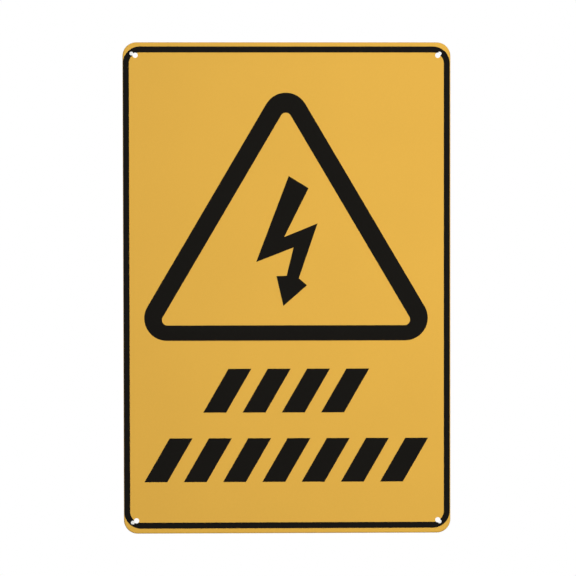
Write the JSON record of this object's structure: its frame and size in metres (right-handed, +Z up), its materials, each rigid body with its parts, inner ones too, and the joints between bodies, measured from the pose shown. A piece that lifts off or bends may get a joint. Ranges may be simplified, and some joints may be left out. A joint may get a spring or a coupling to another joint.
{
  "type": "high voltage warning sign",
  "caption": "Upright yellow sheet-metal warning sign with a folded hem, corner fixing holes, and a printed border, triangle, flash arrow and slanted bars.",
  "frame": {"origin": "middle of the sign on the plane of the wall behind it, which the back of the hem touches", "axes": "+X to the right seen from the front, +Y into the wall so the front faces -Y, +Z up"},
  "size_m": [0.2, 0.0021, 0.3],
  "materials": {
    "yellow_coat": "satin yellow coat printed on tinplate, bare tin behind",
    "black_ink": "satin black screen ink",
    "white_base": "white base coat left unprinted"
  },
  "bodies": {
    "root": {"folded_panel": "yellow_coat", "printed_black": "black_ink", "printed_spots": "white_base"}
  },
  "joints": []
}
